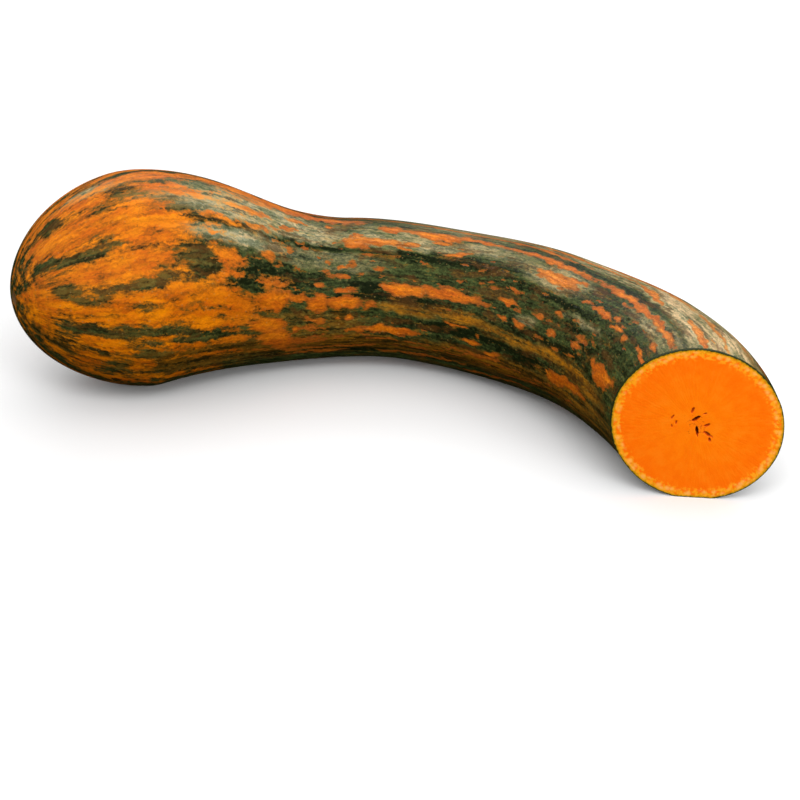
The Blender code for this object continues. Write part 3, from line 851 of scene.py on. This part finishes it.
def rind_material(colours):
    """Ripe squash rind, grown, waxy and unpolished: green and orange with a satin gloss."""
    material = bpy.data.materials.new("squash_rind_waxy")
    material.use_nodes = True
    tree = material.node_tree
    tree.nodes.clear()
    place = add(tree, "ShaderNodeAttribute", attribute_name="skin_place").outputs["Vector"]
    along = add(tree, "ShaderNodeAttribute", attribute_name="along").outputs["Fac"]
    leaning = add(tree, "ShaderNodeAttribute", attribute_name="leaning").outputs["Vector"]
    leaning = add(tree, "ShaderNodeSeparateXYZ", (leaning,)).outputs
    thickness = add(tree, "ShaderNodeAttribute", attribute_name="flecks").outputs["Fac"]
    solid = add(tree, "ShaderNodeTexCoord").outputs["Object"]
    to_neck = add(tree, "ShaderNodeMapRange", (along, 0.09, 0.20, 0.0, 1.0), interpolation_type="SMOOTHSTEP")

    # Outlines that wander by about half a millimetre
    wander = add(tree, "ShaderNodeTexNoise", {"Vector": solid, "Scale": 330.0, "Detail": 3.0})
    wander = add(tree, "ShaderNodeVectorMath", (wander.outputs["Color"], (0.5, 0.5, 0.5)),
                 operation="SUBTRACT")
    wander = add(tree, "ShaderNodeVectorMath", {"Vector": wander, "Scale": 0.0032}, operation="SCALE")
    place = add(tree, "ShaderNodeVectorMath", (place, wander), operation="ADD")

    # Streaks about 7 mm wide and 30 mm long, threads of 2 mm by 14 mm, and mottling of 4 mm
    streak_place = add(tree, "ShaderNodeMapping", {"Vector": place, "Scale": (1.0, 1.0, 0.24)})
    streaks = add(tree, "ShaderNodeTexNoise", {
        "Vector": streak_place, "Scale": 140.0, "Detail": 6.0, "Roughness": 0.65, "Distortion": 0.3})
    thread_place = add(tree, "ShaderNodeMapping", {"Vector": place, "Scale": (1.0, 1.0, 0.14)})
    threads = add(tree, "ShaderNodeTexNoise", {
        "Vector": thread_place, "Scale": 480.0, "Detail": 4.0, "Roughness": 0.6})
    mottle = add(tree, "ShaderNodeTexNoise", {
        "Vector": solid, "Scale": 250.0, "Detail": 5.0, "Roughness": 0.65})
    grain_place = add(tree, "ShaderNodeMapping", {"Vector": place, "Scale": (1.0, 1.0, 0.40)})
    grain = add(tree, "ShaderNodeTexNoise", {
        "Vector": grain_place, "Scale": 700.0, "Detail": 3.0, "Roughness": 0.6})
    # The tip has blotches, where the streaks would all run together
    blotches = add(tree, "ShaderNodeTexNoise", {"Vector": solid, "Scale": 120.0, "Detail": 5.0})
    tip = add(tree, "ShaderNodeMapRange", (along, 0.003, 0.022, 1.0, 0.0), interpolation_type="SMOOTHSTEP")
    streaks = add(tree, "ShaderNodeMix", (tip, streaks, blotches), data_type="FLOAT")
    threads = add(tree, "ShaderNodeMix", (tip, threads, mottle), data_type="FLOAT")

    # Flecks, drops of 1 to 3 mm by 3 to 9 mm: orange or brown ones on green and green ones on orange
    level = leaning["X"]
    raised = 0.0
    for offset, size, stretch, weight in ((0.0, 0.0052, 0.24, 0.74), (0.7, 0.0032, 0.26, 0.92),
                                          (0.3, 0.0050, 0.28, -0.55)):
        fleck_place = add(tree, "ShaderNodeMapping", {
            "Vector": place, "Location": (offset, offset, offset), "Scale": (1.0, 1.0, stretch)})
        cells = add(tree, "ShaderNodeTexVoronoi", {"Vector": fleck_place, "Scale": 1.0 / size})
        chance = add(tree, "ShaderNodeSeparateColor", (cells.outputs["Color"],)).outputs
        reach = add(tree, "ShaderNodeMapRange", (chance["Red"], 0.40, 1.0, 0.0, 0.44))
        inside = add(tree, "ShaderNodeMath", (reach, cells.outputs["Distance"]), operation="SUBTRACT")
        fleck = add(tree, "ShaderNodeMapRange", (inside, -0.02, 0.14, 0.0, weight))
        depth = add(tree, "ShaderNodeMapRange", (chance["Green"], 0.0, 1.0, 0.35, 1.0))
        fleck = add(tree, "ShaderNodeMath", (fleck, depth), operation="MULTIPLY")
        fleck = add(tree, "ShaderNodeMath", (fleck, thickness), operation="MULTIPLY")
        level = add(tree, "ShaderNodeMath", (level, fleck), operation="ADD")
        raised = add(tree, "ShaderNodeMath", (raised, fleck), operation="ADD")

    # The bulb is the more mottled part, where colours run into each other; edges are crisp on the neck
    unrest = 0.0
    for pattern, weight in ((streaks, 1.5), (threads, 1.7), (mottle, 0.5), (grain, 0.7)):
        unrest = add(tree, "ShaderNodeMath", (pattern, weight, unrest), operation="MULTIPLY_ADD")
    unrest = add(tree, "ShaderNodeMath", (unrest, (1.5 + 1.7 + 0.5 + 0.7) / 2.0), operation="SUBTRACT")
    gain = add(tree, "ShaderNodeMapRange", (to_neck, 0.0, 1.0, 1.30, 0.62))
    level = add(tree, "ShaderNodeMath", (unrest, gain, level), operation="MULTIPLY_ADD")
    ripeness = add(tree, "ShaderNodeMapRange", (to_neck, 0.0, 1.0, 0.28, 0.50))
    level = add(tree, "ShaderNodeMath", (level, ripeness), operation="SUBTRACT")
    soft = add(tree, "ShaderNodeMapRange", (to_neck, 0.0, 1.0, 0.74, 0.12))
    ripe = add(tree, "ShaderNodeMath", (level, soft), operation="DIVIDE")

    # Greens, darker and lighter by strokes of 3 mm by 50 mm, thread, mottle and grain
    stroke_place = add(tree, "ShaderNodeMapping", {"Vector": place, "Scale": (1.0, 1.0, 0.06)})
    strokes = add(tree, "ShaderNodeTexNoise", {
        "Vector": stroke_place, "Scale": 330.0, "Detail": 5.0, "Roughness": 0.6})
    green_mix = add(tree, "ShaderNodeMath", (threads, 1.8, mottle), operation="MULTIPLY_ADD")
    green_mix = add(tree, "ShaderNodeMath", (strokes, 1.8, green_mix), operation="MULTIPLY_ADD")
    green_mix = add(tree, "ShaderNodeMath", (grain, 1.4, green_mix), operation="MULTIPLY_ADD")
    green_mix = add(tree, "ShaderNodeMath", (green_mix, 2.0), operation="DIVIDE")
    # The pale marks lighten the green, as bloom and as painted sheen; the dark lines darken it
    shadowy = add(tree, "ShaderNodeMath", (leaning["Z"], 0.35, green_mix), operation="MULTIPLY_ADD")
    lighter = add(tree, "ShaderNodeMapRange", (shadowy, 1.28, 1.78, 0.0, 1.0))
    green = add(tree, "ShaderNodeMix", (lighter, (*colours.deep_green, 1.0), (*colours.leaf_green, 1.0)),
                data_type="RGBA")
    # Waxy bloom and painted sheen in streaky patches, grey-green with tan grains
    patches = add(tree, "ShaderNodeTexNoise", {"Vector": streak_place, "Scale": 90.0, "Detail": 7.0,
                                               "Roughness": 0.70})
    patches = add(tree, "ShaderNodeMapRange", (patches, 0.40, 0.58, 0.25, 1.0))
    fibres = add(tree, "ShaderNodeMapRange", (threads, 0.38, 0.56, 0.35, 1.10))
    # Strength of the pale marks: waxy bloom, and a painted sheen where light falls on the top
    waxy_and_sheen = add(tree, "ShaderNodeMath", (leaning["Z"], 0.0), operation="MAXIMUM")
    bloom_and_sheen = add(tree, "ShaderNodeMath", (waxy_and_sheen, patches), operation="MULTIPLY")
    bloom_and_sheen = add(tree, "ShaderNodeMath", (bloom_and_sheen, fibres), operation="MULTIPLY")
    tan = add(tree, "ShaderNodeMath", (along, 0.40, green_mix), operation="MULTIPLY_ADD")
    tan = add(tree, "ShaderNodeMapRange", (tan, 1.42, 1.74, 0.0, 1.0))
    pale = add(tree, "ShaderNodeMix", (tan, (*colours.grey_green, 1.0), linear("#D4B484")), data_type="RGBA")
    green = add(tree, "ShaderNodeMix", (bloom_and_sheen, green, pale), data_type="RGBA")
    # Yellow-brown bands, broken into strokes
    broken = add(tree, "ShaderNodeMapRange", (strokes, 0.42, 0.56, 0.12, 1.0))
    brown = add(tree, "ShaderNodeMath", (leaning["Y"], broken), operation="MULTIPLY")
    green = add(tree, "ShaderNodeMix", (brown, green, linear("#B8740E")), data_type="RGBA")
    # Russet flecks among the green
    russet = add(tree, "ShaderNodeMapRange", (streaks, 0.50, 0.60, 0.0, 0.65))
    green = add(tree, "ShaderNodeMix", (russet, green, linear("#5A3812")), data_type="RGBA")

    # Orange, yellower on the bulb, with burnt streaks, darker threads and a paler bloom that is partly a
    # painted sheen
    orange = add(tree, "ShaderNodeMix",
                 (to_neck, (*colours.bulb_orange, 1.0), (*colours.neck_orange, 1.0)), data_type="RGBA")
    burnt = add(tree, "ShaderNodeMapRange", (streaks, 0.42, 0.64, 0.72, 0.0))
    orange = add(tree, "ShaderNodeMix", (burnt, orange, linear("#B84C06")), data_type="RGBA")
    # Weak marks and flecks of the neck turn brown: real browner flecks and small marks, and painted shade on
    # the weak orange lines of the lower side
    weaker = add(tree, "ShaderNodeMapRange", (leaning["X"], 0.56, 1.12, 0.92, 0.0))
    weaker = add(tree, "ShaderNodeMath", (weaker, to_neck), operation="MULTIPLY")
    orange = add(tree, "ShaderNodeMix", (weaker, orange, linear("#8E4C18")), data_type="RGBA")
    # Painted warm sheen, with the bloom, on the pale marks
    pinker = add(tree, "ShaderNodeMath", (bloom_and_sheen, 0.30), operation="MULTIPLY")
    orange = add(tree, "ShaderNodeMix", (pinker, orange, linear("#E8AE60")), data_type="RGBA")
    shade = add(tree, "ShaderNodeMapRange", (threads, 0.36, 0.60, 0.74, 1.06))
    orange = add(tree, "ShaderNodeMix", (1.0, orange, shade), data_type="RGBA", blend_type="MULTIPLY")

    # Green turns olive-brown, then orange; under the bloom and the painted sheen the edges of the orange are
    # pale
    edge = add(tree, "ShaderNodeMix", (waxy_and_sheen, (*colours.olive_brown, 1.0), linear("#B09C62")),
               data_type="RGBA")
    fringe = add(tree, "ShaderNodeMath", (threads, 1.4, level), operation="MULTIPLY_ADD")
    browning = add(tree, "ShaderNodeMapRange", (fringe, 0.42, 0.74, 0.0, 0.80), interpolation_type="SMOOTHSTEP")
    skin = add(tree, "ShaderNodeMix", (browning, green, edge), data_type="RGBA")
    ripening = add(tree, "ShaderNodeMapRange", (ripe, -0.45, 0.9, 0.0, 1.0), interpolation_type="SMOOTHSTEP")
    skin = add(tree, "ShaderNodeMix", (ripening, skin, orange), data_type="RGBA")
    speckle = add(tree, "ShaderNodeMapRange", (grain, 0.3, 0.7, 0.68, 1.26))
    grainy = add(tree, "ShaderNodeMapRange", (to_neck, 0.0, 1.0, 0.45, 1.0))
    skin = add(tree, "ShaderNodeMix", (grainy, skin, speckle), data_type="RGBA", blend_type="MULTIPLY")

    # Pores, in life 0.5 mm across and 4 mm apart, drawn 1 mm across so that they show
    pores = add(tree, "ShaderNodeTexVoronoi", {"Vector": solid, "Scale": 240.0})
    pores = add(tree, "ShaderNodeMapRange", (pores.outputs["Distance"], 0.08, 0.16, 0.30, 0.0))
    skin = add(tree, "ShaderNodeMix", (pores, skin, linear("#A88A50")), data_type="RGBA")

    # Corky scar at the tip
    ring = add(tree, "ShaderNodeAttribute", attribute_name="ring_radius").outputs["Fac"]
    cork = add(tree, "ShaderNodeMath", (mottle, 0.004, ring), operation="MULTIPLY_ADD")
    cork = add(tree, "ShaderNodeMapRange", (cork, 0.0055, 0.0075, 1.0, 0.0))
    skin = add(tree, "ShaderNodeMix", (cork, skin, linear("#7A5C3A")), data_type="RGBA")

    gloss = add(tree, "ShaderNodeMapRange", (mottle, 0.3, 0.7, 0.36, 0.54))
    gloss = add(tree, "ShaderNodeMath", (bloom_and_sheen, 0.16, gloss), operation="MULTIPLY_ADD")
    height = add(tree, "ShaderNodeMath", (threads, 0.5, streaks), operation="MULTIPLY_ADD")
    height = add(tree, "ShaderNodeMath", (mottle, 0.4, height), operation="MULTIPLY_ADD")
    # The flecks of the neck stand up by about half a millimetre
    raised = add(tree, "ShaderNodeMath", (raised, to_neck), operation="MULTIPLY")
    height = add(tree, "ShaderNodeMath", (raised, 1.2, height), operation="MULTIPLY_ADD")
    bump = add(tree, "ShaderNodeBump", {"Strength": 0.40, "Distance": 0.0012, "Height": height})
    shader = add(tree, "ShaderNodeBsdfPrincipled", {
        "Base Color": skin, "Roughness": gloss, "Normal": bump, "IOR": 1.45, "Specular IOR Level": 0.24})
    add(tree, "ShaderNodeOutputMaterial", {"Surface": shader})
    return material


def flesh_material(colours):
    """Raw squash flesh, cut with a knife: dense, moist and orange, paler under the rind."""
    material = bpy.data.materials.new("squash_flesh_cut")
    material.use_nodes = True
    tree = material.node_tree
    tree.nodes.clear()
    place = add(tree, "ShaderNodeAttribute", attribute_name="cut_place").outputs["Vector"]
    slit = add(tree, "ShaderNodeAttribute", attribute_name="slit").outputs["Fac"]
    from_rim = add(tree, "ShaderNodeSeparateXYZ", (place,)).outputs["Z"]
    flat = add(tree, "ShaderNodeVectorMath", (place, (1.0, 1.0, 0.0)), operation="MULTIPLY")
    outward = add(tree, "ShaderNodeVectorMath", (flat,), operation="NORMALIZE")
    from_middle = add(tree, "ShaderNodeVectorMath", (flat,), operation="LENGTH").outputs["Value"]

    # Rays of fibre, about 2 mm wide at the rim and 8 mm long
    ray_place = add(tree, "ShaderNodeVectorMath", {"Vector": outward, "Scale": 1.2}, operation="SCALE")
    ray_length = add(tree, "ShaderNodeMath", (from_middle, 6.0), operation="MULTIPLY")
    ray_length = add(tree, "ShaderNodeCombineXYZ", (0.0, 0.0, ray_length))
    ray_place = add(tree, "ShaderNodeVectorMath", (ray_place, ray_length), operation="ADD")
    rays = add(tree, "ShaderNodeTexNoise", {"Vector": ray_place, "Scale": 20.0, "Detail": 4.0})
    # Grain of 1.2 mm
    grain = add(tree, "ShaderNodeTexNoise", {"Vector": flat, "Scale": 850.0, "Detail": 3.0})

    inner = add(tree, "ShaderNodeMapRange", (from_middle, 0.010, 0.042, 0.0, 1.0))
    flesh = add(tree, "ShaderNodeMix", (inner, linear("#FF7C00"), (*colours.flesh_orange, 1.0)),
                data_type="RGBA")
    texture = add(tree, "ShaderNodeMath", (grain, 0.9, rays), operation="MULTIPLY_ADD")
    pale = add(tree, "ShaderNodeMapRange", (texture, 0.88, 1.30, 0.0, 0.14))
    flesh = add(tree, "ShaderNodeMix", (pale, flesh, linear("#FF9C28")), data_type="RGBA")
    deep = add(tree, "ShaderNodeMapRange", (texture, 0.65, 0.95, 0.12, 0.0))
    flesh = add(tree, "ShaderNodeMix", (deep, flesh, linear("#F06400")), data_type="RGBA")

    # Slow clouds of a deeper and a paler orange, about 8 mm
    clouds = add(tree, "ShaderNodeTexNoise", {"Vector": flat, "Scale": 120.0, "Detail": 4.0})
    deep = add(tree, "ShaderNodeMapRange", (clouds, 0.36, 0.50, 0.30, 0.0))
    flesh = add(tree, "ShaderNodeMix", (deep, flesh, linear("#F86600")), data_type="RGBA")
    pale = add(tree, "ShaderNodeMapRange", (clouds, 0.50, 0.66, 0.0, 0.30))
    flesh = add(tree, "ShaderNodeMix", (pale, flesh, linear("#FF8A14")), data_type="RGBA")
    # Mustard zone under the rind, 3 to 5 mm wide, that breaks into blotches of 2 mm
    wavy = add(tree, "ShaderNodeTexNoise", {"Vector": flat, "Scale": 160.0, "Detail": 3.0})
    blotches = add(tree, "ShaderNodeTexNoise", {"Vector": flat, "Scale": 430.0, "Detail": 3.0})
    near = add(tree, "ShaderNodeMapRange", (from_rim, 0.0020, 0.0085, 1.0, 0.0))
    zone = add(tree, "ShaderNodeMath", (blotches, 4.6, near), operation="MULTIPLY_ADD")
    zone = add(tree, "ShaderNodeMath", (wavy, 1.0, zone), operation="MULTIPLY_ADD")
    zone = add(tree, "ShaderNodeMapRange", (zone, 3.02, 3.72, 0.0, 0.90), interpolation_type="SMOOTHSTEP")
    inside = add(tree, "ShaderNodeMapRange", (from_rim, 0.0052, 0.0085, 1.0, 0.0))
    zone = add(tree, "ShaderNodeMath", (zone, inside), operation="MULTIPLY")
    greener = add(tree, "ShaderNodeMapRange", (blotches, 0.58, 0.42, 0.0, 1.0))
    greener = add(tree, "ShaderNodeMath", (greener, near), operation="MULTIPLY")
    mustard = add(tree, "ShaderNodeMix", (greener, (*colours.rim_yellow, 1.0), linear("#D8960C")),
                  data_type="RGBA")
    flesh = add(tree, "ShaderNodeMix", (zone, flesh, mustard), data_type="RGBA")
    # Pale ends of the sap bundles, about 4 mm apart, 2 to 5 mm under the rind
    bundles = add(tree, "ShaderNodeTexVoronoi", {"Vector": flat, "Scale": 250.0})
    bundles = add(tree, "ShaderNodeMapRange", (bundles.outputs["Distance"], 0.10, 0.62, 0.84, 0.0),
                  interpolation_type="SMOOTHSTEP")
    under = add(tree, "ShaderNodeMapRange", (from_rim, 0.0010, 0.0022, 0.0, 1.0))
    bundles = add(tree, "ShaderNodeMath", (bundles, under), operation="MULTIPLY")
    inside = add(tree, "ShaderNodeMapRange", (from_rim, 0.0042, 0.0060, 1.0, 0.0))
    bundles = add(tree, "ShaderNodeMath", (bundles, inside), operation="MULTIPLY")
    flesh = add(tree, "ShaderNodeMix", (bundles, flesh, linear("#FFB054")), data_type="RGBA")
    # Olive line and the skin's own edge
    thin = add(tree, "ShaderNodeMath", (blotches, 0.0016, from_rim), operation="MULTIPLY_ADD")
    olive = add(tree, "ShaderNodeMapRange", (thin, 0.0012, 0.0026, 0.9, 0.0))
    flesh = add(tree, "ShaderNodeMix", (olive, flesh, linear("#96820C")), data_type="RGBA")
    skin = add(tree, "ShaderNodeMapRange", (thin, 0.0011, 0.0015, 1.0, 0.0))
    flesh = add(tree, "ShaderNodeMix", (skin, flesh, linear("#2A3214")), data_type="RGBA")
    # Torn crumbs of the hollow's wall round the slits, under 1 mm
    crumbs = add(tree, "ShaderNodeTexNoise", {"Vector": flat, "Scale": 560.0, "Detail": 3.0})
    middle = add(tree, "ShaderNodeMapRange", (from_middle, 0.004, 0.015, 0.10, -0.14))
    crumbs = add(tree, "ShaderNodeMath", (crumbs, middle), operation="ADD")
    crumbs = add(tree, "ShaderNodeMapRange", (crumbs, 0.62, 0.72, 0.0, 0.62))
    flesh = add(tree, "ShaderNodeMix", (crumbs, flesh, linear("#C84E08")), data_type="RGBA")
    # Browned flesh round the slits, and flesh that darkens the deeper the slit goes
    browned = add(tree, "ShaderNodeMapRange", (slit, 0.0, 0.06, 0.0, 0.88))
    flesh = add(tree, "ShaderNodeMix", (browned, flesh, linear("#D24C08")), data_type="RGBA")
    dark = add(tree, "ShaderNodeMapRange", (slit, 0.08, 0.46, 0.0, 0.86))
    flesh = add(tree, "ShaderNodeMix", (dark, flesh, linear("#6A2006")), data_type="RGBA")

    height = add(tree, "ShaderNodeMath", (grain, 0.5, rays), operation="MULTIPLY_ADD")
    bump = add(tree, "ShaderNodeBump", {"Strength": 0.25, "Distance": 0.0008, "Height": height})
    wet = add(tree, "ShaderNodeMapRange", (grain, 0.3, 0.7, 0.36, 0.56))
    shader = add(tree, "ShaderNodeBsdfPrincipled", {
        "Base Color": flesh, "Roughness": wet, "Normal": bump, "IOR": 1.38, "Specular IOR Level": 0.25,
        "Subsurface Weight": 0.15, "Subsurface Radius": (1.0, 0.35, 0.08), "Subsurface Scale": 0.004})
    add(tree, "ShaderNodeOutputMaterial", {"Surface": shader})
    return material


class PUMPKIN_OT_fruit(bpy.types.Operator):
    """Grow the fruit, with its rind and its cut flesh"""
    bl_idname = "pumpkin.grow_fruit"
    bl_label = "Grow the fruit"

    def execute(self, context):
        sizes = context.scene.pumpkin_sizes
        colours = context.scene.pumpkin_colours
        chain = draw_centre_line(sizes)
        tree = fruit_tree(sizes)
        sockets = {item.name: item.identifier for item in tree.interface.items_tree if item.in_out == "INPUT"}
        sweep = chain.modifiers.new("sweep", "NODES")
        sweep.node_group = tree
        for key in TREE_SIZES:
            sweep[sockets[label(key)]] = getattr(sizes, key)
        sweep[sockets["Rind"]] = rind_material(colours)
        sweep[sockets["Flesh"]] = flesh_material(colours)
        graph = context.evaluated_depsgraph_get()
        mesh = bpy.data.meshes.new_from_object(
            chain.evaluated_get(graph), preserve_all_data_layers=True, depsgraph=graph)
        if not mesh.polygons:
            raise RuntimeError("the sweep gave no faces")
        bpy.data.objects.remove(chain)
        fit_to_box(mesh, CAD_BOX)
        lay_out_marks(mesh)
        mesh.shade_smooth()
        mesh.set_sharp_from_angle(angle=math.radians(62.0))
        fruit = bpy.data.objects.new("pumpkin_fruit", mesh)
        context.collection.objects.link(fruit)
        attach(fruit, "root")
        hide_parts("pumpkin")
        return {"FINISHED"}


def add_softbox(context, name, place, target, width, depth, power, mirrored):
    """Add a rectangular soft light that faces a target, and say whether gloss mirrors it."""
    light = bpy.data.lights.new(name, "AREA")
    light.shape = "RECTANGLE"
    light.size = width
    light.size_y = depth
    light.energy = power
    lamp = bpy.data.objects.new(name, light)
    context.collection.objects.link(lamp)
    lamp.location = place
    aim = Vector(target) - Vector(place)
    lamp.rotation_euler = aim.to_track_quat("-Z", "Y").to_euler()
    lamp.visible_glossy = mirrored


class PUMPKIN_OT_studio(bpy.types.Operator):
    """Lay the pale floor and set the lights and the camera"""
    bl_idname = "pumpkin.set_studio"
    bl_label = "Set the studio"

    def execute(self, context):
        colours = context.scene.pumpkin_colours
        mesh = bpy.data.meshes.new("studio_floor")
        mesh.from_pydata([(-16, -16, 0), (16, -16, 0), (16, 16, 0), (-16, 16, 0)], [], [(0, 1, 2, 3)])
        floor = bpy.data.objects.new("studio_floor", mesh)
        context.collection.objects.link(floor)
        material = bpy.data.materials.new("studio_paper_matt")
        material.use_nodes = True
        shader = material.node_tree.nodes["Principled BSDF"]
        shader.inputs["Base Color"].default_value = (*colours.floor_white, 1.0)
        shader.inputs["Roughness"].default_value = 0.9
        mesh.materials.append(material)

        # The floor throws no light back, as over a dark bench, so that the underside stays deep
        floor.visible_diffuse = False
        floor.visible_glossy = False

        world = bpy.data.worlds.new("studio_dome")
        world.use_nodes = True
        tree = world.node_tree
        tree.nodes.clear()
        height = add(tree, "ShaderNodeSeparateXYZ", (add(tree, "ShaderNodeTexCoord").outputs["Generated"],))
        dome = add(tree, "ShaderNodeMapRange", (height.outputs["Z"], -0.15, 0.10, 0.04, 0.95),
                   interpolation_type="SMOOTHSTEP")
        dome = add(tree, "ShaderNodeBackground", {"Color": (1.0, 1.0, 1.0, 1.0), "Strength": dome})
        add(tree, "ShaderNodeOutputWorld", {"Surface": dome})
        # Only the softbox behind is mirrored in the rind, so that its colours stay deep
        world.cycles_visibility.glossy = False
        context.scene.world = world
        context.scene.view_settings.view_transform = "Standard"

        add_softbox(context, "softbox_back", (0.15, 1.6, 1.25), (0.0, 0.0, 0.05), 2.6, 0.9, 11.0,
                    mirrored=True)
        add_softbox(context, "softbox_front", (0.1, -1.3, 1.6), (0.05, 0.0, 0.05), 1.4, 0.8, 14.0,
                    mirrored=False)
        add_softbox(context, "softbox_side", (0.55, -0.80, 0.35), (0.20, -0.10, 0.05), 0.4, 0.4, 3.0,
                    mirrored=False)

        lens = bpy.data.cameras.new("photo_camera")
        lens.lens = 135.0
        lens.sensor_width = 36.0
        camera = bpy.data.objects.new("photo_camera", lens)
        context.collection.objects.link(camera)
        camera.location = (0.0102, -1.7343, 0.8812)
        camera.rotation_euler = (math.radians(63.22), 0.0, 0.0)
        context.scene.camera = camera
        return {"FINISHED"}


class PUMPKIN_PT_sidebar(bpy.types.Panel):
    """Buttons for the fruit and its studio"""
    bl_label = "Pumpkin"
    bl_idname = "PUMPKIN_PT_sidebar"
    bl_space_type = "VIEW_3D"
    bl_region_type = "UI"
    bl_category = "Pumpkin"

    def draw(self, context):
        for group in (context.scene.pumpkin_sizes, context.scene.pumpkin_colours):
            box = self.layout.box()
            for key in group.bl_rna.properties.keys():
                if key not in ("rna_type", "name"):
                    box.prop(group, key)
        self.layout.operator(PUMPKIN_OT_fruit.bl_idname)
        self.layout.operator(PUMPKIN_OT_studio.bl_idname)


CLASSES = (PumpkinSizes, PumpkinColours, PUMPKIN_OT_fruit, PUMPKIN_OT_studio, PUMPKIN_PT_sidebar)


def register():
    for item in CLASSES:
        bpy.utils.register_class(item)
    bpy.types.Scene.pumpkin_sizes = PointerProperty(type=PumpkinSizes)
    bpy.types.Scene.pumpkin_colours = PointerProperty(type=PumpkinColours)


def unregister():
    del bpy.types.Scene.pumpkin_colours
    del bpy.types.Scene.pumpkin_sizes
    for item in reversed(CLASSES):
        bpy.utils.unregister_class(item)


def main():
    register()
    bpy.ops.pumpkin.grow_fruit()
    bpy.ops.pumpkin.set_studio()


if __name__ == "__main__":
    main()
